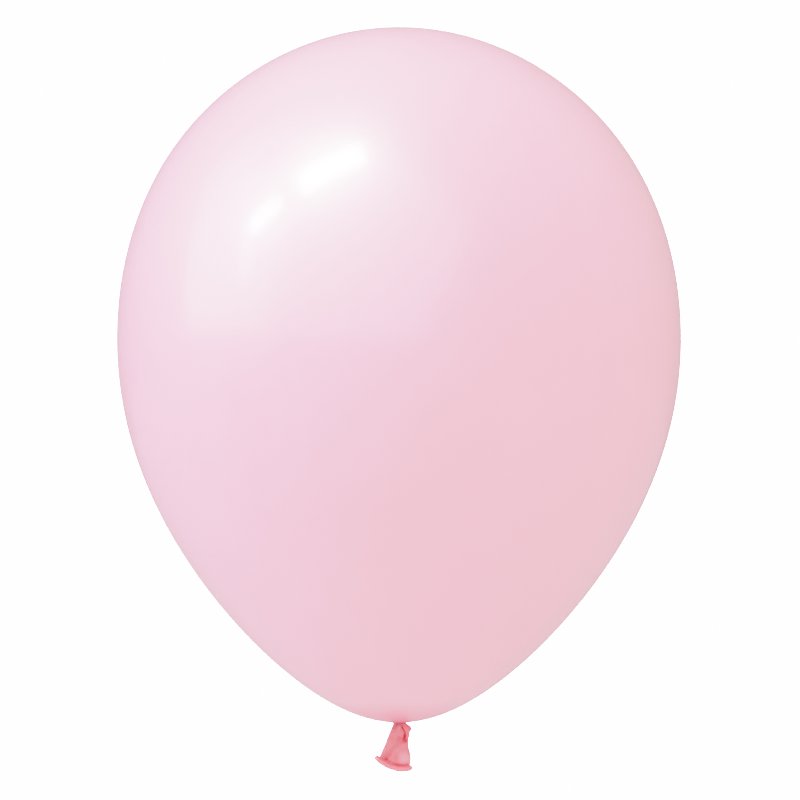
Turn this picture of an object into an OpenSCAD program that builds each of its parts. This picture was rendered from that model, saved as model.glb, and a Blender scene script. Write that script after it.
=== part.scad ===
// Round latex party balloon, inflated and tied: the stretched envelope, the gathered throat, the
// overhand knot (a core with one loop round it), the relaxed tail and its rolled rim.
// Origin: centre of the tie groove between the envelope and the knot. +Z runs up through the crown,
// and the flattened tail faces -Y. The film is one dipped piece, so each flexible place is a narrow
// gap between rounded seats that are centred on the axis of the joint there.

/* [Envelope] */
// Diameter of the inflated envelope at its widest level
envelope_d = 300; // [200:5:320]
// Height of the crown above the widest level
crown_h = 165; // [100:1:180]
// Depth of the envelope below the widest level
lower_h = 205; // [120:1:230]
// How much the lower half is drawn in towards the neck
lower_taper = 0.261; // [0:0.001:0.35]
// Thickness of the skin as modelled
skin_t = 0.25; // [0.2:0.05:0.6]

/* [Neck] */
// Radius of the gathered neck beside the tie groove
neck_r = 3.0; // [2.8:0.1:3.2]
// Depth of the tie groove
groove_depth = 0.4; // [0.2:0.05:0.5]
// Height of the tie groove
groove_h = 1.0; // [0.8:0.1:1.2]

/* [Knot] */
// Radius of the knot's core at its widest
core_r = 4.0; // [3.6:0.1:4.3]
// Radius of the rolled film that forms the loop
loop_r = 1.4; // [1.2:0.1:1.5]
// Radius of the loop's centre line
loop_ring_r = 3.8; // [3.6:0.1:4.0]
// Lean of the loop to one side
loop_lean = 15; // [5:1:20]

/* [Tail] */
// Width of the tail where it leaves the knot
tail_root_w = 10.2; // [8:0.1:12]
// Length of the mouth along the centre of its rolled rim
mouth_w = 17.2; // [14:0.1:20]
// Depth of the flattened mouth across the centre of its rolled rim
mouth_depth = 3.6; // [3.2:0.1:4]
// Level of the middle of the mouth
mouth_z = -21.6; // [-28:0.1:-18]
// Sideways offset of the mouth
mouth_x = -3.0; // [-6:0.1:6]
// Slope of the mouth, in drop for each millimetre towards +X
mouth_slope = 0.302; // [0:0.01:0.4]
// How far the middle of the mouth bows down
mouth_bow = 2.5; // [0:0.1:4]
// Thickness of the tail's film
film_t = 0.45; // [0.3:0.05:0.8]
// Radius of the rolled rim
rim_r = 1.4; // [1:0.1:1.5]

/* [Hidden] */
$fn = 96;

gap = 0.2;                      // clearance at each flexible place
seat_gap = 0.05;                // clearance between the knot's core and its own loop

// Envelope
envelope_z0 = 0.6;              // level of the envelope's underside at the axis
widest_z = envelope_z0 + lower_h;
taper_power = 2.2;
crown_fullness = 0.046;         // slight squareness of the shoulders above the widest level
profile_steps = 48;             // points along each half of the outline
boss_r = 4.5;                   // gathered film inside the envelope, round the throat
boss_z = 3.8;

// Throat
throat_r = 1.9;
throat_z = 2.8;
throat_gap_z = envelope_z0 - gap;
neck_foot_r = 2.2;
groove_mid_z = -0.15;           // level of the deepest line of the tie groove
groove_steps = 12;              // points across the groove
cup_steps = 8;                  // points along the cup that the knot's dome turns in

// Knot
tilt_z = -4.0;                  // level of the axis that the knot tilts about
dome_r = 3.0;                   // rounded top of the core, centred on that axis
dome_end = 50;                  // where the dome gives way to the shoulder, as an angle from the axis
dome_steps = 10;
core_foot_r = 3.1;
core_foot_z = -8.6;
core_side = [                   // radius and level down the core's side, from the shoulder to the foot
    [3.1, -2.8], [core_r - 0.2, -3.7], [core_r, -5.0],
    [core_r - 0.1, -6.2], [core_foot_r + 0.4, -7.6], [core_foot_r, core_foot_z]];
trough_len = 30;                // the trough under the core runs right across it
loop_sides = 48;
loop_pos = [0.9, 0, -5.0];
ear_pos = [5.4, -0.3, -3.5];    // the corner of folded film that stands out of the loop
ear_r = 1.3;

// Tail
flop_z = -9.7;                  // level of the axis that the tail bends about
root_r = 1.8;                   // rounded upper edge of the tail, centred on that axis
root_x = -1.0;
root_top = 80;                  // angle of the root's highest ring above its axis
root_fade = 60;                 // how soon the round root thins into the film
waist_depth = 1.3;              // half depth of the tail just below its root
hollow_from = 0.2;              // where the tail's hollow starts, as a share of its length
flare_power = 0.85;
round_steps = 10;               // points round each end of the tail's section
side_steps = 12;                // points along each side of it
root_steps = 5;
flare_steps = 10;
rim_sides = 14;

// Radius of the envelope at an angle from the widest level: 90 is the crown and -90 the underside
function upper_r(s) = 1 + crown_fullness * s * s * (1 - s * s);
function lower_r(s) = 1 - lower_taper * pow(s, taper_power);
function outline(angle, inset) =
    let (s = abs(sin(angle)), r = envelope_d / 2 - inset)
    angle >= 0
        ? [r * cos(angle) * upper_r(s), widest_z + (crown_h - inset) * s]
        : [r * cos(angle) * lower_r(s), widest_z - (lower_h - inset) * s];

// Every section of the tail and its mouth is a slot with round ends
function slot(half_w, half_d) =
    let (side = half_w - half_d)
    concat(
        [for (i = [0 : round_steps]) let (a = -90 + 180 * i / round_steps)
            [side + half_d * cos(a), half_d * sin(a)]],
        [for (i = [1 : side_steps - 1]) [side - 2 * side * i / side_steps, half_d]],
        [for (i = [0 : round_steps]) let (a = 90 + 180 * i / round_steps)
            [-side + half_d * cos(a), half_d * sin(a)]],
        [for (i = [1 : side_steps - 1]) [-side + 2 * side * i / side_steps, -half_d]]);
slot_points = len(slot(2, 1));

// The mouth's slanted and bowed line in the XZ plane, and its slope
function mouth_drop(x) =
    mouth_z - mouth_slope * x - mouth_bow * (1 - pow(2 * x / mouth_w, 2));
function mouth_grade(x) = -mouth_slope + 8 * mouth_bow * x / pow(mouth_w, 2);

// A point of a section at the mouth, lifted off the rim's centre line square to that line
function mouth_point(p, lift) =
    let (g = mouth_grade(p[0]), n = [-g, 1] / sqrt(1 + g * g))
    [mouth_x + p[0] + lift * n[0], p[1], mouth_drop(p[0]) + lift * n[1]];

function lerp(a, b, t) = a + (b - a) * t;

// Half depth of the tail: round at the root, thin below it, opening towards the mouth
function tail_depth(u) =
    waist_depth + (root_r - waist_depth) * exp(-root_fade * u * u)
    + (mouth_depth / 2 - waist_depth) * u * u;

// One section of the tail, u running from the root at 0 to the mouth at 1
function tail_ring(u, inset) =
    let (
        half_d = tail_depth(u) - inset,
        root = slot(tail_root_w / 2 - inset, half_d),
        mouth = slot(mouth_w / 2 - inset, half_d))
    [for (i = [0 : slot_points - 1])
        let (m = mouth_point(mouth[i], rim_r + seat_gap), t = pow(u, flare_power))
        [lerp(root_x + root[i][0], m[0], t), root[i][1], lerp(flop_z, m[2], u)]];

// The tail's rounded upper edge, a falling from 90 at the top to 0 at the level of the axis
function root_ring(a) =
    [for (p = slot(tail_root_w / 2, root_r * cos(a)))
        [root_x + p[0], p[1], flop_z + root_r * sin(a)]];

// Faces between rings of n points each, joined from the last ring to the first if closed
function skin_faces(rings, n, closed) =
    [for (k = [0 : closed ? rings - 1 : rings - 2], i = [0 : n - 1])
        let (
            a = k * n + i,
            b = k * n + (i + 1) % n,
            c = ((k + 1) % rings) * n + i,
            d = ((k + 1) % rings) * n + (i + 1) % n)
        each [[a, b, c], [b, d, c]]];

// A fan that closes one ring onto a centre point
function fan_faces(first, n, centre, last_ring) =
    [for (i = [0 : n - 1])
        let (a = first + i, b = first + (i + 1) % n)
        last_ring ? [a, b, centre] : [b, a, centre]];
function sum_of(ring, k, i = 0) = i == len(ring) ? 0 : ring[i][k] + sum_of(ring, k, i + 1);
function mean(ring) = [for (k = [0 : 2]) sum_of(ring, k) / len(ring)];

module envelope() {
    outer = [for (i = [-profile_steps : profile_steps]) outline(90 * i / profile_steps, 0)];
    inner = [for (i = [profile_steps : -1 : -profile_steps]) outline(90 * i / profile_steps, skin_t)];
    socket_r = throat_r + gap;
    color("pink")
        rotate_extrude()
            polygon(concat(
                [[0, throat_z + gap], [socket_r, throat_z + gap], [socket_r, envelope_z0]],
                [for (p = outer) if (p[0] > socket_r) p],
                [[0, widest_z + crown_h], [0, widest_z + crown_h - skin_t]],
                [for (p = inner) if (p[0] > boss_r) p],
                [[boss_r, boss_z], [0, boss_z]]));
}

module neck_stem() {
    cup_r = dome_r + gap;
    cup_edge = asin(neck_foot_r / cup_r);
    color("hotpink")
        rotate_extrude()
            polygon(concat(
                [[0, throat_z], [throat_r, throat_z], [throat_r, throat_gap_z], [neck_r, throat_gap_z]],
                [for (i = [0 : groove_steps]) let (a = 180 * i / groove_steps)
                    [neck_r - groove_depth * sin(a), groove_mid_z + groove_h / 2 * cos(a)]],
                [for (i = [0 : cup_steps]) let (a = cup_edge * (1 - i / cup_steps))
                    [cup_r * sin(a), tilt_z + cup_r * cos(a)]]));
}

module loop_ring(r) {
    translate(loop_pos)
        rotate([0, -loop_lean, 0])
            rotate_extrude()
                translate([loop_ring_r, 0])
                    circle(r = r, $fn = loop_sides);
}

module knot_core() {
    difference() {
        color("palevioletred")
            rotate_extrude()
                polygon(concat(
                    [for (i = [0 : dome_steps]) let (a = dome_end * i / dome_steps)
                        [dome_r * sin(a), tilt_z + dome_r * cos(a)]],
                    core_side,
                    [[0, core_foot_z]]));
        loop_ring(loop_r + seat_gap);
        translate(ear_pos)
            sphere(r = ear_r + seat_gap);
        translate([0, 0, flop_z])
            rotate([0, 90, 0])
                cylinder(r = root_r + gap, h = trough_len, center = true);
    }
}

module knot_loop() {
    color("lightcoral") {
        loop_ring(loop_r);
        translate(ear_pos)
            sphere(r = ear_r);
    }
}

module tail() {
    top = [for (i = [0 : root_steps - 1]) root_ring(root_top * (1 - i / root_steps))];
    flare = [for (i = [0 : flare_steps]) tail_ring(i / flare_steps, 0)];
    hollow = [for (i = [flare_steps : -1 : 0])
        tail_ring(hollow_from + (1 - hollow_from) * i / flare_steps, film_t)];
    rings = concat(top, flare, hollow);
    last = len(rings) - 1;
    points = [for (ring = rings, p = ring) p];
    centre = len(points);
    color("palevioletred")
        polyhedron(
            points = concat(points, [mean(rings[0]), mean(rings[last])]),
            faces = concat(
                skin_faces(len(rings), slot_points, false),
                fan_faces(0, slot_points, centre, false),
                fan_faces(last * slot_points, slot_points, centre + 1, true)),
            convexity = 4);
}

module rolled_rim() {
    line = [for (p = slot(mouth_w / 2, mouth_depth / 2)) mouth_point(p, 0)];
    rings = [for (i = [0 : slot_points - 1])
        let (
            along = line[(i + 1) % slot_points] - line[(i + slot_points - 1) % slot_points],
            side = cross(along, [0, 0, 1]),
            out = side / norm(side),
            up = cross(out, along / norm(along)))
        [for (k = [0 : rim_sides - 1])
            let (a = 360 * k / rim_sides)
            line[i] + rim_r * (cos(a) * out + sin(a) * up)]];
    color("pink")
        polyhedron(
            points = [for (ring = rings, p = ring) p],
            faces = skin_faces(slot_points, rim_sides, true),
            convexity = 4);
}

envelope();
neck_stem();
knot_core();
knot_loop();
tail();
rolled_rim();
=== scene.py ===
import math

import bmesh
import bpy
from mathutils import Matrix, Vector


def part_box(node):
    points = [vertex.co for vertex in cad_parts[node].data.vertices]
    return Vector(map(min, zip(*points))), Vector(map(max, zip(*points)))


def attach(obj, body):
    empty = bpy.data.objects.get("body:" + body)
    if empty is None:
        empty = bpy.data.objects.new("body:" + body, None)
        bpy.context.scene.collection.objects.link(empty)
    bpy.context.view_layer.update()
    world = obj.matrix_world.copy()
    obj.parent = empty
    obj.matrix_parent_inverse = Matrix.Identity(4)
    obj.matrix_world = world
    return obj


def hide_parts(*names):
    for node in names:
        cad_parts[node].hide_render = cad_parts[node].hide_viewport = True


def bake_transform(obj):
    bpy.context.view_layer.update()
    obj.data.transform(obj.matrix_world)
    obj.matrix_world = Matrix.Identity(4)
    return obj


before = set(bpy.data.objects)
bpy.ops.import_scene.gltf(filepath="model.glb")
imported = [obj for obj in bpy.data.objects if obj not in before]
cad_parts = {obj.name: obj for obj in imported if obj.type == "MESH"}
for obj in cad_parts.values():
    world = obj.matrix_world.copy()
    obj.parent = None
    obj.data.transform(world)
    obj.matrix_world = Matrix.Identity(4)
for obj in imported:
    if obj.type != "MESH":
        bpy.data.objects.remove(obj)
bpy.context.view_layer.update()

mm = 0.001
nearby = 0.01 * mm               # two levels closer than this are the same
mergeReach = 0.001 * mm


# Helpers for modelling by hand

def millimetres(values):
    return tuple(v * mm for v in values)


def deselectAll():
    if bpy.context.object and bpy.context.object.mode != "OBJECT":
        bpy.ops.object.mode_set(mode="OBJECT")
    bpy.ops.object.select_all(action="DESELECT")


def startEditing(name):
    piece = bpy.context.object
    piece.name = name
    piece.data.name = name
    bpy.ops.object.mode_set(mode="EDIT")
    return piece


def pickVerts(piece, test):  # selects the vertices whose place passes the test
    mesh = bmesh.from_edit_mesh(piece.data)
    for v in mesh.verts:
        v.select_set(False)
    for v in mesh.verts:
        if test(v.co):
            v.select_set(True)
    mesh.select_flush_mode()
    bmesh.update_edit_mesh(piece.data)


def extrudeRing(radiusFrom, radiusTo, zFrom, zTo):  # the next ring up from the selected one
    bpy.ops.mesh.extrude_edges_move(TRANSFORM_OT_translate={"value": (0, 0, zTo - zFrom)})
    scale = radiusTo / radiusFrom
    bpy.ops.transform.resize(value=(scale, scale, 1), center_override=(0, 0, zTo))


def closePole(rise=0):  # draws the selected ring in to one point
    bpy.ops.mesh.extrude_edges_move(TRANSFORM_OT_translate={"value": (0, 0, rise)})
    bpy.ops.mesh.merge(type="CENTER")


def smoothPiece(piece, levels):
    smooth = piece.modifiers.new("smooth", "SUBSURF")
    smooth.levels = levels
    smooth.render_levels = levels


def finishMesh(piece, smoothLevels):
    bpy.ops.mesh.select_all(action="SELECT")
    bpy.ops.mesh.remove_doubles(threshold=mergeReach)
    bpy.ops.mesh.normals_make_consistent(inside=False)
    bpy.ops.object.mode_set(mode="OBJECT")
    bpy.ops.object.shade_smooth()
    if smoothLevels:
        smoothPiece(piece, smoothLevels)


# The inflated envelope

envelopeShape = {
    "segments": 128,
    "lowerRings": 52,
    "upperRings": 40,
    "ringCrowding": 1.15,        # above 1, the lower rings crowd towards the throat
    "widestShare": 0.5541,       # height of the widest level, as a share of the envelope's height
    "lowerTaper": 0.261,
    "taperPower": 2.2,
    "crownFullness": 0.046,
    "throatRadius": 2.6 * mm,
    "throatFloor": -0.5 * mm,
    "throatFlare": 1.04,         # how much wider the throat is at level 0 than at its floor
    "lipRadius": 3.3 * mm,
    "lipTurn": (0.93, 0.75),     # where the lip turns, as shares of its radius and of the film's level
    "lift": 0.25 * mm,           # how far the film sits above the solid at the throat
}


def makeEnvelope(shape):
    low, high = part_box("envelope")
    radius = (high.x - low.x) / 2
    widest = low.z + (high.z - low.z) * shape["widestShare"]
    base = low.z + shape["lift"]
    drop, rise = widest - base, high.z - widest

    rings = [(shape["throatRadius"], shape["throatFloor"])]
    rings.append((shape["throatRadius"] * shape["throatFlare"], 0))
    rings.append((shape["lipRadius"] * shape["lipTurn"][0], base * shape["lipTurn"][1]))
    for i in range(shape["lowerRings"]):
        angle = math.radians(90) * (1 - i / shape["lowerRings"]) ** shape["ringCrowding"]
        side = math.sin(angle)
        r = radius * math.cos(angle) * (1 - shape["lowerTaper"] * side ** shape["taperPower"])
        if r > shape["lipRadius"]:
            rings.append((r, widest - drop * side))
    for i in range(shape["upperRings"]):
        angle = math.radians(90) * i / shape["upperRings"]
        side = math.sin(angle)
        fullness = 1 + shape["crownFullness"] * side ** 2 * (1 - side ** 2)
        rings.append((radius * math.cos(angle) * fullness, widest + rise * side))

    deselectAll()
    bpy.ops.mesh.primitive_circle_add(
        vertices=shape["segments"], radius=rings[0][0], location=(0, 0, rings[0][1]))
    bpy.ops.object.transform_apply(location=True)
    piece = startEditing("envelopeSkin")
    for (r0, z0), (r1, z1) in zip(rings, rings[1:]):
        extrudeRing(r0, r1, z0, z1)
    closePole(high.z - rings[-1][1])
    pickVerts(piece, lambda co: co.z < shape["throatFloor"] + nearby)
    closePole()
    finishMesh(piece, 1)
    return piece


# The gathered throat, where a ribbon is tied

throatShape = {
    "columns": 64,
    "pleatEvery": 4,
    "pleatScale": 0.9,
    "valleyHalf": 0.05,          # half the width of a valley, as a share of a pleat
    "twist": 9,                  # degrees that the pleats turn from one ring to the next
    "rings": [  # radius and z in mm
        (2.3, 1.3), (3.3, 1.2), (3.2, 0.7), (2.9, 0.2), (2.8, -0.3), (3.0, -0.9), (2.5, -1.4), (1.6, -1.7),
    ],
}


def makeThroat(shape):
    deselectAll()
    radius, z = shape["rings"][0]
    bpy.ops.mesh.primitive_circle_add(
        vertices=shape["columns"], radius=radius * mm, location=(0, 0, z * mm))
    bpy.ops.object.transform_apply(location=True)
    piece = startEditing("throatGather")
    for (r0, z0), (r1, z1) in zip(shape["rings"], shape["rings"][1:]):
        extrudeRing(r0, r1, z0 * mm, z1 * mm)
        bpy.ops.transform.rotate(
            value=math.radians(shape["twist"]), orient_axis="Z", center_override=(0, 0, z1 * mm))
    closePole()
    pickVerts(piece, lambda co: co.z > z * mm - nearby)
    closePole()
    turn = 0
    step = 2 * math.pi / shape["columns"] * shape["pleatEvery"]
    for r1, z1 in shape["rings"][1:]:
        turn -= math.radians(shape["twist"])

        def valley(co):
            if abs(co.z - z1 * mm) > nearby or co.xy.length < mm:
                return False
            offset = (math.atan2(co.y, co.x) + turn) / step
            return abs(offset - round(offset)) < shape["valleyHalf"]
        pickVerts(piece, valley)
        bpy.ops.transform.resize(
            value=(shape["pleatScale"], shape["pleatScale"], 1), center_override=(0, 0, z1 * mm))
    finishMesh(piece, 2)
    return piece


# The knot: a folded lump behind, and the loop that the tail comes out of, all in mm

lumpShape = {
    "segments": (72, 36),
    "centre": (0.3, 1.6, -4.9),
    "radii": (3.5, 2.4, 4.2),
    "pleats": 6,
    "windings": 1000,            # how steeply the pleats wind round the lump, in radians a metre
    "pleatDepth": 0.3,
    "ridges": (0.25, 0.35),      # a ridge starts at this part of the wave, and its height is this share
    "valleys": -0.55,
    "softening": 2,
}
loopShape = {
    "segments": (96, 40),
    "centre": (1.25, -0.9, -4.75),
    "radii": (4.0, 4.85),
    "thickness": 1.15,
    "depthScale": 1.15,
    "tilt": (-19, 30),           # the top and the right come forward, in degrees about x and z
    "grooves": (75, 120, 205, 250),   # the film's folds run along the loop at these angles round it
    "grooveHalf": 5,
    "grooveDepth": 0.14,
    "grip": 0.3,                 # how much of the film a pull takes hold of
    # each pull: a place on the loop, how far it moves, and its reach
    "pulls": [
        ((4.8, -2.6, -1.9), (1.3, 0.1, 0.3), 2.8),
        ((6.2, -2.6, -2.0), (0.6, 0.0, 0.1), 2.0),
        ((2.6, -2.9, 0.2), (0.3, 0.0, 0.9), 2.2),
        ((4.8, -2.8, 0.0), (0.35, 0.0, 0.45), 1.5),
        ((5.5, -2.6, -4.6), (-0.1, 0.0, 0.0), 1.8),
        ((4.6, -1.8, -8.0), (-0.5, 1.5, 0.0), 2.6),
        ((1.2, -3.4, -0.6), (0.7, 0.0, 0.3), 1.6),
    ],
}
wrapShape = {
    "segments": (80, 20),
    "centre": (0.3, 1.9, -5.4),
    "radius": 2.6,
    "thickness": 1.15,
    "tilt": (-24, 16),
}


def makeLump(shape):
    deselectAll()
    centre = Vector(millimetres(shape["centre"]))
    around, along = shape["segments"]
    bpy.ops.mesh.primitive_uv_sphere_add(segments=around, ring_count=along, radius=mm, location=centre)
    piece = bpy.context.object
    piece.scale = shape["radii"]
    bpy.ops.object.transform_apply(location=True, scale=True)
    startEditing("knotLump")

    def wave(co):
        p = co - centre
        return math.sin(shape["pleats"] * math.atan2(p.y, p.x) + shape["windings"] * p.z)
    ridgeStart, ridgeShare = shape["ridges"]
    pickVerts(piece, lambda co: wave(co) > ridgeStart)
    bpy.ops.transform.shrink_fatten(value=ridgeShare * shape["pleatDepth"] * mm)
    pickVerts(piece, lambda co: wave(co) < shape["valleys"])
    bpy.ops.transform.shrink_fatten(value=-shape["pleatDepth"] * mm)
    bpy.ops.mesh.select_all(action="SELECT")
    bpy.ops.mesh.vertices_smooth(factor=0.5, repeat=shape["softening"])
    finishMesh(piece, 1)
    return piece


def pullPlace(piece, grip, place, move, reach):  # one soft pull at a place
    place = Vector(millimetres(place))
    nearest = min((v.co - place).length for v in bmesh.from_edit_mesh(piece.data).verts)
    pickVerts(piece, lambda co: (co - place).length < nearest + grip * mm)
    bpy.ops.transform.translate(
        value=millimetres(move), use_proportional_edit=True,
        proportional_edit_falloff="SMOOTH", proportional_size=reach * mm)


def makeLoop(shape):
    deselectAll()
    rx, rz = millimetres(shape["radii"])
    along, around = shape["segments"]
    bpy.ops.mesh.primitive_torus_add(
        major_segments=along, minor_segments=around, major_radius=rz,
        minor_radius=shape["thickness"] * mm, rotation=(math.radians(90), 0, 0))
    bpy.ops.object.transform_apply(rotation=True)
    piece = startEditing("knotLoop")
    bpy.ops.transform.resize(value=(rx / rz, shape["depthScale"], 1), center_override=(0, 0, 0))

    def inGroove(co):
        ring = Vector((co.x * rz / rx, co.z))
        angle = math.degrees(math.atan2(-co.y / shape["depthScale"], ring.length - rz)) % 360
        return min(abs(angle - g) for g in shape["grooves"]) < shape["grooveHalf"]
    pickVerts(piece, inGroove)
    bpy.ops.transform.shrink_fatten(value=-shape["grooveDepth"] * mm)
    bpy.ops.mesh.select_all(action="SELECT")
    for tilt, axis in zip(shape["tilt"], "XZ"):
        bpy.ops.transform.rotate(value=math.radians(tilt), orient_axis=axis, center_override=(0, 0, 0))
    bpy.ops.transform.translate(value=millimetres(shape["centre"]))
    for place, move, reach in shape["pulls"]:
        pullPlace(piece, shape["grip"], place, move, reach)
    finishMesh(piece, 1)
    return piece


def makeWrap(shape):  # the turn of film behind, which the tail hides from the front
    deselectAll()
    along, around = shape["segments"]
    bpy.ops.mesh.primitive_torus_add(
        major_segments=along, minor_segments=around, major_radius=shape["radius"] * mm,
        minor_radius=shape["thickness"] * mm, location=millimetres(shape["centre"]),
        rotation=(math.radians(shape["tilt"][0]), math.radians(shape["tilt"][1]), 0))
    bpy.ops.object.transform_apply(location=True, rotation=True)
    piece = startEditing("knotWrap")
    finishMesh(piece, 1)
    return piece


# The tail: a flattened tube of relaxed film that flares to the mouth, all in mm

tailShape = {
    # each section: x and z of its left end, x and z of its right end, y of its middle, half depth
    "sections": [
        (-11.6, -17.3, 5.85, -22.5, 0.0, 1.75),
        (-10.4, -16.6, 5.4, -21.4, -0.1, 1.5),
        (-9.9, -15.6, 5.85, -19.6, -0.2, 1.3),
        (-9.2, -14.2, 6.15, -17.4, -0.3, 1.2),
        (-8.35, -12.6, 5.7, -14.9, -0.5, 1.1),
        (-7.1, -10.4, 4.9, -12.2, -0.9, 1.05),
        (-6.4, -8.4, 4.75, -9.6, -1.7, 1.0),
        (-5.7, -6.6, 4.7, -7.9, -2.4, 0.95),
        (-5.0, -4.8, 3.3, -5.7, -2.8, 0.9),
        (-4.3, -3.1, 2.9, -3.8, -3.05, 0.85),
        (-3.6, -1.6, 1.9, -2.0, -3.1, 0.8),
        (-3.0, 0.0, 0.9, -0.4, -2.9, 0.7),
        (-2.5, 1.5, 0.5, 1.4, -2.3, 0.5),
    ],
    "stepsBetween": 4,
    "endVerts": 24,
    "sideCuts": 30,
    "bow": 3.1,                  # how far the middle of the mouth hangs down
    "bowReach": 9.4,
    "bowGrip": 0.9,
    "film": 0.3,
    "foldGrip": 0.25,            # film this close to a fold's line moves all the way
    # each fold: the points it runs through in x and z, how far it moves in y, and its reach
    "folds": [
        ([(0.4, -7.0), (0.2, -9.4), (-1.3, -12.1), (-3.9, -15.4), (-7.4, -18.4)], 1.2, 2.1),
        ([(-4.6, -7.6), (-6.2, -11.0), (-7.6, -14.4)], -0.3, 2.0),
        ([(3.2, -12.6), (3.2, -16.0), (2.2, -20.0)], -0.75, 3.2),
        ([(-2.4, -14.0), (-3.2, -17.5), (-3.6, -20.0)], -0.45, 2.0),
        ([(1.2, 0.4), (2.8, -2.2), (3.9, -4.2), (3.7, -6.2), (3.2, -7.9)], 3.1, 2.2),
        ([(-0.9, 0.9), (-1.6, -0.4), (-2.5, -1.6)], 0.45, 0.75),
        ([(-0.6, 0.6), (-0.4, -2.0), (0.0, -4.4)], -0.15, 1.5),
        ([(-6.6, -18.6), (-3.9, -20.5), (-1.2, -21.4), (2.2, -21.8), (5.0, -21.5)], 1.0, 1.3),
    ],
    "rim": 1.42,                 # the bead's radius
    "rimResolution": 6,
}


def sectionPlace(section):  # the middle, half width, half depth and lean that two ends give
    xLeft, zLeft, xRight, zRight, y, halfDepth = section
    across = Vector((xRight - xLeft, zRight - zLeft))
    middle = Vector(((xLeft + xRight) / 2, y, (zLeft + zRight) / 2))
    return middle * mm, across.length / 2, halfDepth, math.atan2(-across.y, across.x)


def between(sections, i, t):  # a smooth curve through the sections
    p = [Vector(sections[min(max(i + k, 0), len(sections) - 1)]) for k in (-1, 0, 1, 2)]
    return 0.5 * (2 * p[1] + (p[2] - p[0]) * t + (2 * p[0] - 5 * p[1] + 4 * p[2] - p[3]) * t ** 2
                  + (3 * p[1] - p[0] - 3 * p[2] + p[3]) * t ** 3)


def makeTail(shape):
    steps = shape["stepsBetween"]
    sections = shape["sections"]
    rings = [between(sections, i, k / steps) for i in range(len(sections) - 1) for k in range(steps)]
    rings.append(sections[-1])
    centre, halfWidth, halfDepth, lean = sectionPlace(rings[0])

    deselectAll()
    bpy.ops.mesh.primitive_circle_add(vertices=shape["endVerts"], radius=halfDepth * mm, location=centre)
    bpy.ops.object.transform_apply(location=True)
    piece = startEditing("tailFilm")
    spread = (halfWidth - halfDepth) * mm
    pickVerts(piece, lambda co: co.x > centre.x + mergeReach)  # the ring is parted into a long slot
    bpy.ops.transform.translate(value=(spread, 0, 0))
    pickVerts(piece, lambda co: co.x < centre.x - mergeReach)
    bpy.ops.transform.translate(value=(-spread, 0, 0))
    mesh = bmesh.from_edit_mesh(piece.data)
    for e in mesh.edges:
        e.select_set(e.calc_length() > spread / 2)
    bmesh.update_edit_mesh(piece.data)
    bpy.ops.mesh.subdivide(number_cuts=shape["sideCuts"])
    bpy.ops.mesh.select_all(action="SELECT")
    bpy.ops.transform.rotate(value=-lean, orient_axis="Y", center_override=centre)

    for ring in rings[1:]:
        nextCentre, nextWidth, nextDepth, nextLean = sectionPlace(ring)
        bpy.ops.mesh.extrude_edges_move(TRANSFORM_OT_translate={"value": nextCentre - centre})
        centre = nextCentre
        bpy.ops.transform.rotate(value=lean, orient_axis="Y", center_override=centre)
        bpy.ops.transform.resize(
            value=(nextWidth / halfWidth, nextDepth / halfDepth, 1), center_override=centre)
        halfWidth, halfDepth, lean = nextWidth, nextDepth, nextLean
        bpy.ops.transform.rotate(value=-lean, orient_axis="Y", center_override=centre)
    closePole()
    return piece


def bendTail(piece, shape):
    mouth = sectionPlace(shape["sections"][0])[0]
    pickVerts(piece, lambda co: (co.xz - mouth.xz).length < shape["bowGrip"] * mm)
    bpy.ops.transform.translate(
        value=(0, 0, -shape["bow"] * mm), use_proportional_edit=True,
        proportional_edit_falloff="INVERSE_SQUARE", proportional_size=shape["bowReach"] * mm)
    for points, depth, reach in shape["folds"]:
        line = [Vector(p) * mm for p in points]

        def onLine(co):
            for a, b in zip(line, line[1:]):
                t = min(max((co.xz - a).dot(b - a) / (b - a).length_squared, 0), 1)
                if (a + (b - a) * t - co.xz).length < shape["foldGrip"] * mm:
                    return True
            return False
        pickVerts(piece, onLine)
        bpy.ops.transform.translate(
            value=(0, depth * mm, 0), use_proportional_edit=True,
            proportional_edit_falloff="SMOOTH", proportional_size=reach * mm)


def makeRim(tail, shape):  # the mouth's edge, duplicated, parted and thickened into a bead
    bpy.ops.mesh.select_all(action="DESELECT")
    mesh = bmesh.from_edit_mesh(tail.data)
    for e in mesh.edges:
        if e.is_boundary:
            e.select_set(True)
    bmesh.update_edit_mesh(tail.data)
    bpy.ops.mesh.duplicate()
    bpy.ops.mesh.separate(type="SELECTED")
    bpy.ops.object.mode_set(mode="OBJECT")
    rim = [o for o in bpy.context.selected_objects if o != tail][0]
    deselectAll()
    rim.select_set(True)
    bpy.context.view_layer.objects.active = rim
    bpy.ops.object.convert(target="CURVE")
    rim.data.bevel_depth = shape["rim"] * mm
    rim.data.bevel_resolution = shape["rimResolution"]
    bpy.ops.object.convert(target="MESH")
    startEditing("rolledRim")
    finishMesh(rim, 1)
    return rim


def finishTail(piece, shape):
    deselectAll()
    piece.select_set(True)
    bpy.context.view_layer.objects.active = piece
    bpy.ops.object.mode_set(mode="EDIT")
    finishMesh(piece, 0)
    wall = piece.modifiers.new("wall", "SOLIDIFY")
    wall.thickness = shape["film"] * mm
    wall.offset = -1
    bpy.ops.object.modifier_apply(modifier="wall")
    smoothPiece(piece, 1)


# Materials

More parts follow.
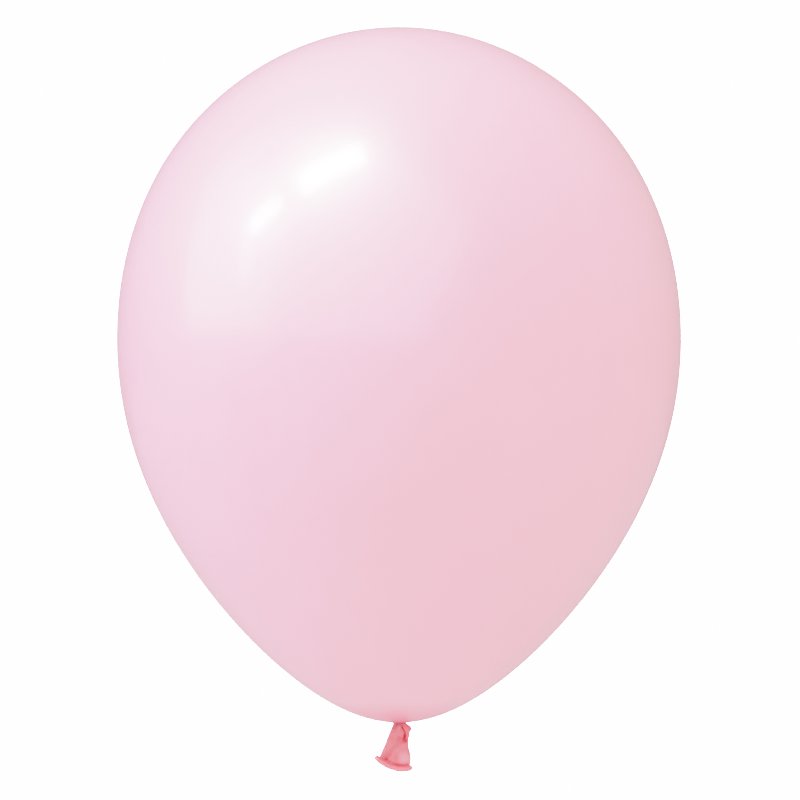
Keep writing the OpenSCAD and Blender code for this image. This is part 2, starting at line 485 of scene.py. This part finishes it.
latexLook = {
    "stretchedPink": (0.915, 0.54, 0.603, 1),
    "gatheredPink": (0.87, 0.25, 0.355, 1),
    "relaxedPink": (0.87, 0.31, 0.345, 1),
    "deepPink": (0.84, 0.185, 0.225, 1),
    "rimPink": (0.85, 0.345, 0.38, 1),
    # painted highlight colour, used for the lit patches on the tail
    "highlightPink": (0.92, 0.47, 0.52, 1),
    # painted shade colour: the deep crimson painted into creases and grooves
    "creaseShadeRed": (0.98, 0.045, 0.09, 1),
    "gatherStart": 8 * mm,       # the film is thick from here in, and fully stretched from gatherEnd out
    "gatherEnd": 42 * mm,
    "gatherHalfway": 0.35,
    "crownSpot": 13 * mm,        # the thicker spot that the dipping leaves at the crown
    "crownCore": 0.2,            # the share of the spot that is at full strength
    "crownTint": 0.3,
    "stretchedCloud": 0.035,     # how much the film's uneven thickness shows in its colour
    "relaxedCloud": 0.4,
    "stretchedBloom": {"Cloud Scale": 13, "Pebble Scale": 1100, "Bump": 0.05, "Roughness": 0.37},
    "relaxedBloom": {"Cloud Scale": 190, "Pebble Scale": 2600, "Bump": 0.25, "Roughness": 0.46},
    "stretchedShine": {
        "Specular IOR Level": 0.42,
        "Coat Weight": 0.55,
        "Coat Roughness": 0.14,
        "Sheen Weight": 0.12,
        "Sheen Roughness": 0.35,
        "Sheen Tint": (1.0, 0.62, 0.8, 1),
    },
    "relaxedDepth": {
        "Subsurface Weight": 0.3,
        "Subsurface Radius": (1.0, 0.3, 0.33),
        "Subsurface Scale": 1.2 * mm,
    },
    # each patch of painted highlight and painted shade on the tail: its place and its reach along x, y and
    # z in mm, its strength and its colour
    "tailHighlightsAndShade": [
        ((3.4, -1.0, -17.6), (5.5, 5.5, 5.5), 0.9, "highlightPink"),   # painted highlight on the lower right of the tail, towards the mouth
        # painted highlight: a lit strip at the top of the tail, left of the groove
        ((0.2, -3.3, -1.6), (1.3, 5.0, 2.6), 0.6, "highlightPink"),
        ((1.3, -3.0, -7.6), (3.0, 6.0, 4.0), 0.75, "deepPink"),   # painted shade left of the groove's lower half, towards the knot
        # painted shade: deep crimson in the groove beside the knot's loop, on this line and the next
        ((1.9, -2.0, -1.5), (1.2, 6.0, 2.4), 1.0, "creaseShadeRed"),
        ((3.1, -2.0, -5.0), (1.5, 6.0, 4.2), 1.0, "creaseShadeRed"),
        ((0.2, -1.0, -21.7), (7.0, 5.0, 1.2), 0.45, "creaseShadeRed"),  # painted shade in the groove just above the bead
    ],
}


def newMaterial(name):
    material = bpy.data.materials.new(name)
    material.use_nodes = True
    nodes = material.node_tree.nodes
    return material, nodes, material.node_tree.links, nodes["Principled BSDF"]


def setSockets(node, values):
    for name, value in values.items():
        node.inputs[name].default_value = value


def addNode(nodes, kind, settings=None, **values):  # a node with its settings and socket values
    node = nodes.new(kind)
    for name, value in (settings or {}).items():
        setattr(node, name, value)
    setSockets(node, {name.replace("_", " "): value for name, value in values.items()})
    return node


def addMath(nodes, links, operation, first, second=None, clamp=False):
    node = nodes.new("ShaderNodeMath")
    node.operation = operation
    node.use_clamp = clamp
    for socket, value in zip(node.inputs, (first, second)):
        if value is None:
            continue
        if isinstance(value, (int, float)):
            socket.default_value = value
        else:
            links.new(value, socket)
    return node.outputs[0]


def addMix(nodes, links, factor, first, second):  # a colour mix
    node = nodes.new("ShaderNodeMix")
    node.data_type = "RGBA"
    for socket, value in ((node.inputs[0], factor), (node.inputs[6], first), (node.inputs[7], second)):
        if isinstance(value, (int, float, tuple)):
            socket.default_value = value
        else:
            links.new(value, socket)
    return node.outputs[2]


def makeGroup(name, inputs, outputs):  # a node group with named sockets
    group = bpy.data.node_groups.new(name, "ShaderNodeTree")
    for label, kind, value in inputs:
        socket = group.interface.new_socket(name=label, in_out="INPUT", socket_type=kind)
        if value is not None:
            socket.default_value = value
    for label, kind in outputs:
        group.interface.new_socket(name=label, in_out="OUTPUT", socket_type=kind)
    return group, group.nodes.new("NodeGroupInput"), group.nodes.new("NodeGroupOutput")


def makeLatexBloom():  # the dipped film's uneven thickness and its powdery, finely pebbled surface
    group, taken, given = makeGroup(
        "latexBloom",
        [("Vector", "NodeSocketVector", None), ("Cloud Scale", "NodeSocketFloat", 14.0),
         ("Pebble Scale", "NodeSocketFloat", 900.0), ("Bump", "NodeSocketFloat", 0.1),
         ("Roughness", "NodeSocketFloat", 0.4), ("Pebble Spread", "NodeSocketFloat", 0.16),
         ("Cloud Spread", "NodeSocketFloat", 0.03)],
        [("Cloud", "NodeSocketFloat"), ("Roughness", "NodeSocketFloat"), ("Normal", "NodeSocketVector")])
    nodes, links = group.nodes, group.links
    cloud = addNode(nodes, "ShaderNodeTexNoise", Detail=3, Roughness=0.55, Distortion=0.6)
    pebble = addNode(nodes, "ShaderNodeTexNoise", Detail=4, Roughness=0.6)
    links.new(taken.outputs["Vector"], cloud.inputs["Vector"])
    links.new(taken.outputs["Vector"], pebble.inputs["Vector"])
    links.new(taken.outputs["Cloud Scale"], cloud.inputs["Scale"])
    links.new(taken.outputs["Pebble Scale"], pebble.inputs["Scale"])
    spread = addNode(nodes, "ShaderNodeMapRange", {"interpolation_type": "SMOOTHSTEP"},
                     From_Min=0.3, From_Max=0.7)
    links.new(cloud.outputs["Fac"], spread.inputs["Value"])
    uneven = addMath(nodes, links, "SUBTRACT", pebble.outputs["Fac"], 0.5)
    uneven = addMath(nodes, links, "MULTIPLY", uneven, taken.outputs["Pebble Spread"])
    rough = addMath(nodes, links, "ADD", uneven, taken.outputs["Roughness"])
    cloudy = addMath(nodes, links, "MULTIPLY", spread.outputs["Result"], taken.outputs["Cloud Spread"])
    rough = addMath(nodes, links, "ADD", rough, cloudy, clamp=True)
    bump = addNode(nodes, "ShaderNodeBump", Distance=0.1 * mm)
    links.new(pebble.outputs["Fac"], bump.inputs["Height"])
    links.new(taken.outputs["Bump"], bump.inputs["Strength"])
    links.new(spread.outputs["Result"], given.inputs["Cloud"])
    links.new(rough, given.inputs["Roughness"])
    links.new(bump.outputs["Normal"], given.inputs["Normal"])
    return group


def makeCreaseShade():  # painted shade: how far a place lies down in a crease, found by ambient occlusion, less where the knot meets the body
    group, taken, given = makeGroup(
        "creaseShade",
        [("Vector", "NodeSocketVector", None), ("Reach", "NodeSocketFloat", 1.3 * mm),
         ("Open", "NodeSocketFloat", 0.75), ("Gain", "NodeSocketFloat", 2.2),
         ("Top", "NodeSocketFloat", 0.6 * mm), ("Bottom", "NodeSocketFloat", -1.4 * mm),
         ("Top Share", "NodeSocketFloat", 0.15)],
        [("Depth", "NodeSocketFloat")])
    nodes, links = group.nodes, group.links
    hollow = addNode(nodes, "ShaderNodeAmbientOcclusion", {"samples": 8})
    links.new(taken.outputs["Reach"], hollow.inputs["Distance"])
    shut = addMath(nodes, links, "SUBTRACT", taken.outputs["Open"], hollow.outputs["AO"], clamp=True)
    shut = addMath(nodes, links, "MULTIPLY", shut, taken.outputs["Gain"], clamp=True)
    split = nodes.new("ShaderNodeSeparateXYZ")
    links.new(taken.outputs["Vector"], split.inputs[0])
    below = nodes.new("ShaderNodeMapRange")
    links.new(split.outputs["Z"], below.inputs["Value"])
    links.new(taken.outputs["Top"], below.inputs["From Min"])
    links.new(taken.outputs["Bottom"], below.inputs["From Max"])
    links.new(taken.outputs["Top Share"], below.inputs["To Min"])
    links.new(addMath(nodes, links, "MULTIPLY", shut, below.outputs["Result"]), given.inputs["Depth"])
    return group


def addEffect(nodes, links, group, place, values):  # a group placed in a material with its own values
    node = nodes.new("ShaderNodeGroup")
    node.node_tree = group
    links.new(place, node.inputs["Vector"])
    setSockets(node, values)
    return node


def stretchedLatex(bloom, crown):  # thin on the inflated body, thick and deeper pink at the throat
    material, nodes, links, shader = newMaterial("stretchedLatex")
    place = nodes.new("ShaderNodeTexCoord").outputs["Object"]
    surface = addEffect(nodes, links, bloom, place, latexLook["stretchedBloom"])

    reach = addNode(nodes, "ShaderNodeVectorMath", {"operation": "LENGTH"})
    links.new(place, reach.inputs[0])
    thin = addNode(nodes, "ShaderNodeMapRange",
                   From_Min=latexLook["gatherStart"], From_Max=latexLook["gatherEnd"])
    links.new(reach.outputs["Value"], thin.inputs["Value"])
    fade = nodes.new("ShaderNodeValToRGB")
    stretched, gathered = latexLook["stretchedPink"], latexLook["gatheredPink"]
    halfway = tuple((a + b) / 2 for a, b in zip(stretched, gathered))
    fade.color_ramp.elements[0].color = gathered
    fade.color_ramp.elements[1].color = stretched
    fade.color_ramp.elements.new(latexLook["gatherHalfway"]).color = halfway
    links.new(thin.outputs["Result"], fade.inputs["Fac"])

    fromCrown = addNode(nodes, "ShaderNodeVectorMath", {"operation": "DISTANCE"})
    fromCrown.inputs[1].default_value = (0, 0, crown)
    links.new(place, fromCrown.inputs[0])
    spot = addNode(nodes, "ShaderNodeMapRange", {"interpolation_type": "SMOOTHSTEP"},
                   From_Min=latexLook["crownSpot"], To_Max=latexLook["crownTint"],
                   From_Max=latexLook["crownCore"] * latexLook["crownSpot"])
    links.new(fromCrown.outputs["Value"], spot.inputs["Value"])
    cloud = addMath(nodes, links, "MULTIPLY", surface.outputs["Cloud"], latexLook["stretchedCloud"])
    deeper = addMath(nodes, links, "ADD", cloud, spot.outputs["Result"])
    color = addMix(nodes, links, deeper, fade.outputs["Color"], gathered)
    links.new(color, shader.inputs["Base Color"])
    links.new(surface.outputs["Roughness"], shader.inputs["Roughness"])
    links.new(surface.outputs["Normal"], shader.inputs["Normal"])
    setSockets(shader, latexLook["stretchedShine"])
    return material


def addTint(nodes, links, place, color, centre, reach, strength, tint):  # a soft patch of another colour, used to paint highlights and shade on the tail
    offset = addNode(nodes, "ShaderNodeVectorMath", {"operation": "SUBTRACT"})
    offset.inputs[1].default_value = millimetres(centre)
    links.new(place, offset.inputs[0])
    share = addNode(nodes, "ShaderNodeVectorMath", {"operation": "DIVIDE"})
    share.inputs[1].default_value = millimetres(reach)
    links.new(offset.outputs["Vector"], share.inputs[0])
    away = addNode(nodes, "ShaderNodeVectorMath", {"operation": "LENGTH"})
    links.new(share.outputs["Vector"], away.inputs[0])
    patch = addNode(nodes, "ShaderNodeMapRange", {"interpolation_type": "SMOOTHSTEP"},
                    From_Min=1, From_Max=0, To_Max=strength)
    links.new(away.outputs["Value"], patch.inputs["Value"])
    return addMix(nodes, links, patch.outputs["Result"], color, latexLook[tint])


def relaxedLatex(name, bloom, creaseShade, lightPink, deepPink, tints=()):  # painted red shade in its creases
    material, nodes, links, shader = newMaterial(name)
    place = nodes.new("ShaderNodeTexCoord").outputs["Object"]
    surface = addEffect(nodes, links, bloom, place, latexLook["relaxedBloom"])
    cloud = addMath(nodes, links, "MULTIPLY", surface.outputs["Cloud"], latexLook["relaxedCloud"])
    color = addMix(nodes, links, cloud, lightPink, deepPink)
    # painted highlights and painted shade, patch by patch
    for centre, reach, strength, tint in tints:
        color = addTint(nodes, links, place, color, centre, reach, strength, tint)
    crease = addEffect(nodes, links, creaseShade, place, {})
    # painted shade: creases that ambient occlusion finds shut in are coloured deep red
    color = addMix(nodes, links, crease.outputs["Depth"], color, latexLook["creaseShadeRed"])
    links.new(color, shader.inputs["Base Color"])
    links.new(surface.outputs["Roughness"], shader.inputs["Roughness"])
    links.new(surface.outputs["Normal"], shader.inputs["Normal"])
    setSockets(shader, latexLook["relaxedDepth"])
    return material


def dress(piece, material):
    piece.data.materials.clear()
    piece.data.materials.append(material)


# Studio

studio = {
    "cameraDistance": 3.0,
    "sensor": 36,
    "lens": 254.0,
    "cameraX": 0.53 * mm,
    "cameraZ": 172.4 * mm,
    "sightLimit": 50,
    "floorZ": -0.6,
    "floorHalf": 7.0,
    "backdrop": 6,
    "ambient": 0.91,
    "skyLift": 0.70,            # how much brighter the fill is overhead than at the horizon
    "glossAmbient": 0.44,
    "floorGrey": 0.75,
    "floorInGloss": 0.42,       # how bright the floor looks in the reflections
    "floorRoughness": 0.9,
    "filmWhite": 4,
    "filmResponse": [(0.15, 0.585), (0.225, 0.84), (0.325, 0.93), (0.5, 0.975)],   # a soft shoulder
}

white = (1, 1, 1, 1)
coolWhite = (0.88, 0.95, 1.2)
pinkWhite = (1.0, 0.93, 1.06)
crown = (-0.04, -0.12, 0.30)
shoulder = (-0.075, -0.12, 0.26)
middle = (0, 0, 0.2)

# each panel lies out along a direction from the point it is aimed at, its long side along "along"
panels = [
    {"name": "mainPanel", "towards": (-0.40, -0.40, 0.82), "aim": crown, "distance": 1.3,
     "size": (0.56, 0.22), "along": (0.48, 0.01, 0.225), "power": 33, "color": pinkWhite},
    {"name": "sidePanel", "towards": (-0.755, -0.32, 0.56), "aim": shoulder, "distance": 1.3,
     "size": (0.28, 0.12), "along": (0.13, -0.06, 0.16), "power": 7, "color": pinkWhite},
    {"name": "lowPanel", "towards": (-0.87, -0.32, 0.36), "aim": shoulder, "distance": 1.3,
     "size": (0.4, 0.12), "along": (0.04, 0.09, 0.18), "power": 0.7, "color": pinkWhite},
    {"name": "wallPanel", "towards": (-0.52, -0.64, 0.57), "aim": middle, "distance": 1.5,
     "size": (4.4, 2.0), "along": (0.7, -0.7, 0), "power": 28, "color": coolWhite},
    {"name": "keySoftbox", "towards": (-0.87, -0.25, 0.40), "aim": middle, "distance": 1.8,
     "size": (1.4, 1.4), "along": (0.3, -0.85, 0), "power": 8, "color": coolWhite, "glossOnly": False},
]


def addPanel(name, towards, aim, distance, size, along, power, color, glossOnly=True):
    towards = Vector(towards).normalized()
    data = bpy.data.lights.new(name, "AREA")
    data.shape = "RECTANGLE"
    data.size, data.size_y = size
    data.energy = power
    data.color = color
    light = bpy.data.objects.new(name, data)
    bpy.context.collection.objects.link(light)
    light.location = Vector(aim) + towards * distance
    zAxis = towards
    xAxis = (Vector(along) - zAxis * Vector(along).dot(zAxis)).normalized()
    yAxis = zAxis.cross(xAxis)
    turn = light.matrix_world.to_3x3()
    for i in range(3):
        turn[i][0], turn[i][1], turn[i][2] = xAxis[i], yAxis[i], zAxis[i]
    light.rotation_mode = "QUATERNION"
    light.rotation_quaternion = turn.to_quaternion()
    light.visible_camera = False
    light.visible_diffuse = not glossOnly


def setResponse(look):  # how the camera's film answers to light
    settings = bpy.context.scene.view_settings
    settings.view_transform = "Standard"
    settings.look = "None"
    settings.use_curve_mapping = True
    response = settings.curve_mapping
    response.white_level = (look["filmWhite"],) * 3
    curve = response.curves[3]
    curve.points[0].location = (0, 0)
    curve.points[1].location = (1, 1)
    for x, y in look["filmResponse"]:
        curve.points.new(x, y)
    for point in curve.points:
        point.handle_type = "AUTO"
    response.update()


def makeWorld(look):  # a white backdrop, and a fill that is brighter overhead
    world = bpy.data.worlds.new("studioWorld")
    bpy.context.scene.world = world
    world.use_nodes = True
    nodes, links = world.node_tree.nodes, world.node_tree.links
    nodes.clear()
    output = nodes.new("ShaderNodeOutputWorld")
    paths = nodes.new("ShaderNodeLightPath")
    backdrop = addNode(nodes, "ShaderNodeBackground", Color=white, Strength=look["backdrop"])
    fill = addNode(nodes, "ShaderNodeBackground", Color=white)
    gloss = addNode(nodes, "ShaderNodeBackground", Color=white, Strength=look["glossAmbient"])
    place = nodes.new("ShaderNodeTexCoord")
    split = nodes.new("ShaderNodeSeparateXYZ")
    overhead = look["ambient"] + look["skyLift"]
    lift = addNode(nodes, "ShaderNodeMapRange", To_Min=look["ambient"], To_Max=overhead)
    links.new(place.outputs["Generated"], split.inputs[0])
    links.new(split.outputs["Z"], lift.inputs["Value"])
    links.new(lift.outputs["Result"], fill.inputs["Strength"])
    mixGloss = nodes.new("ShaderNodeMixShader")
    mixCamera = nodes.new("ShaderNodeMixShader")
    links.new(paths.outputs["Is Glossy Ray"], mixGloss.inputs[0])
    links.new(fill.outputs[0], mixGloss.inputs[1])
    links.new(gloss.outputs[0], mixGloss.inputs[2])
    links.new(paths.outputs["Is Camera Ray"], mixCamera.inputs[0])
    links.new(mixGloss.outputs[0], mixCamera.inputs[1])
    links.new(backdrop.outputs[0], mixCamera.inputs[2])
    links.new(mixCamera.outputs[0], output.inputs["Surface"])


def makeFloor(look):
    deselectAll()
    bpy.ops.mesh.primitive_plane_add(size=2 * look["floorHalf"], location=(0, 0, look["floorZ"]))
    floor = bpy.context.object
    floor.name = "studioFloor"
    material, nodes, links, shader = newMaterial("paleFloor")
    grey = (look["floorGrey"],) * 3 + (1,)
    setSockets(shader, {"Base Color": grey, "Roughness": look["floorRoughness"]})
    dim = addNode(nodes, "ShaderNodeBsdfDiffuse", Color=(look["floorInGloss"],) * 3 + (1,))
    reflected = nodes.new("ShaderNodeLightPath")
    choice = nodes.new("ShaderNodeMixShader")
    links.new(reflected.outputs["Is Glossy Ray"], choice.inputs[0])
    links.new(shader.outputs[0], choice.inputs[1])
    links.new(dim.outputs[0], choice.inputs[2])
    links.new(choice.outputs[0], nodes["Material Output"].inputs["Surface"])
    dress(floor, material)


def makeCamera(look):
    data = bpy.data.cameras.new("studioCamera")
    data.sensor_width = look["sensor"]
    data.lens = look["lens"]
    data.clip_end = look["sightLimit"]
    camera = bpy.data.objects.new("studioCamera", data)
    bpy.context.collection.objects.link(camera)
    camera.location = (look["cameraX"], -look["cameraDistance"], look["cameraZ"])
    camera.rotation_euler = (math.radians(90), 0, 0)
    bpy.context.scene.camera = camera


# The object, piece by piece, and then its studio

envelopeSkin = makeEnvelope(envelopeShape)
latexBloom = makeLatexBloom()
creaseShade = makeCreaseShade()
dress(envelopeSkin, stretchedLatex(latexBloom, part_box("envelope")[1].z))
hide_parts("envelope")
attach(envelopeSkin, "balloon")
print("envelope done")

knotLatex = relaxedLatex("knotLatex", latexBloom, creaseShade, latexLook["relaxedPink"],
                         latexLook["deepPink"])
throatGather = makeThroat(throatShape)
dress(throatGather, knotLatex)
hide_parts("neck_stem")
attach(throatGather, "neck")
print("throat done")

knotLump = makeLump(lumpShape)
knotLoop = makeLoop(loopShape)
knotWrap = makeWrap(wrapShape)
for piece in (knotLump, knotLoop, knotWrap):
    dress(piece, knotLatex)
    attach(piece, "knot")
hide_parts("knot_core")
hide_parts("knot_loop")
print("knot done")

tailFilm = makeTail(tailShape)
bendTail(tailFilm, tailShape)
rolledRim = makeRim(tailFilm, tailShape)
finishTail(tailFilm, tailShape)
dress(tailFilm, relaxedLatex("tailLatex", latexBloom, creaseShade, latexLook["relaxedPink"],
                             latexLook["deepPink"], latexLook["tailHighlightsAndShade"]))
dress(rolledRim, relaxedLatex("rimLatex", latexBloom, creaseShade, latexLook["rimPink"],
                              latexLook["relaxedPink"]))
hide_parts("tail")
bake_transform(tailFilm)
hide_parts("rolled_rim")
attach(rolledRim, "tail")
print("tail done")

setResponse(studio)
makeWorld(studio)
makeFloor(studio)
makeCamera(studio)
for panel in panels:
    addPanel(**panel)
print("studio done")
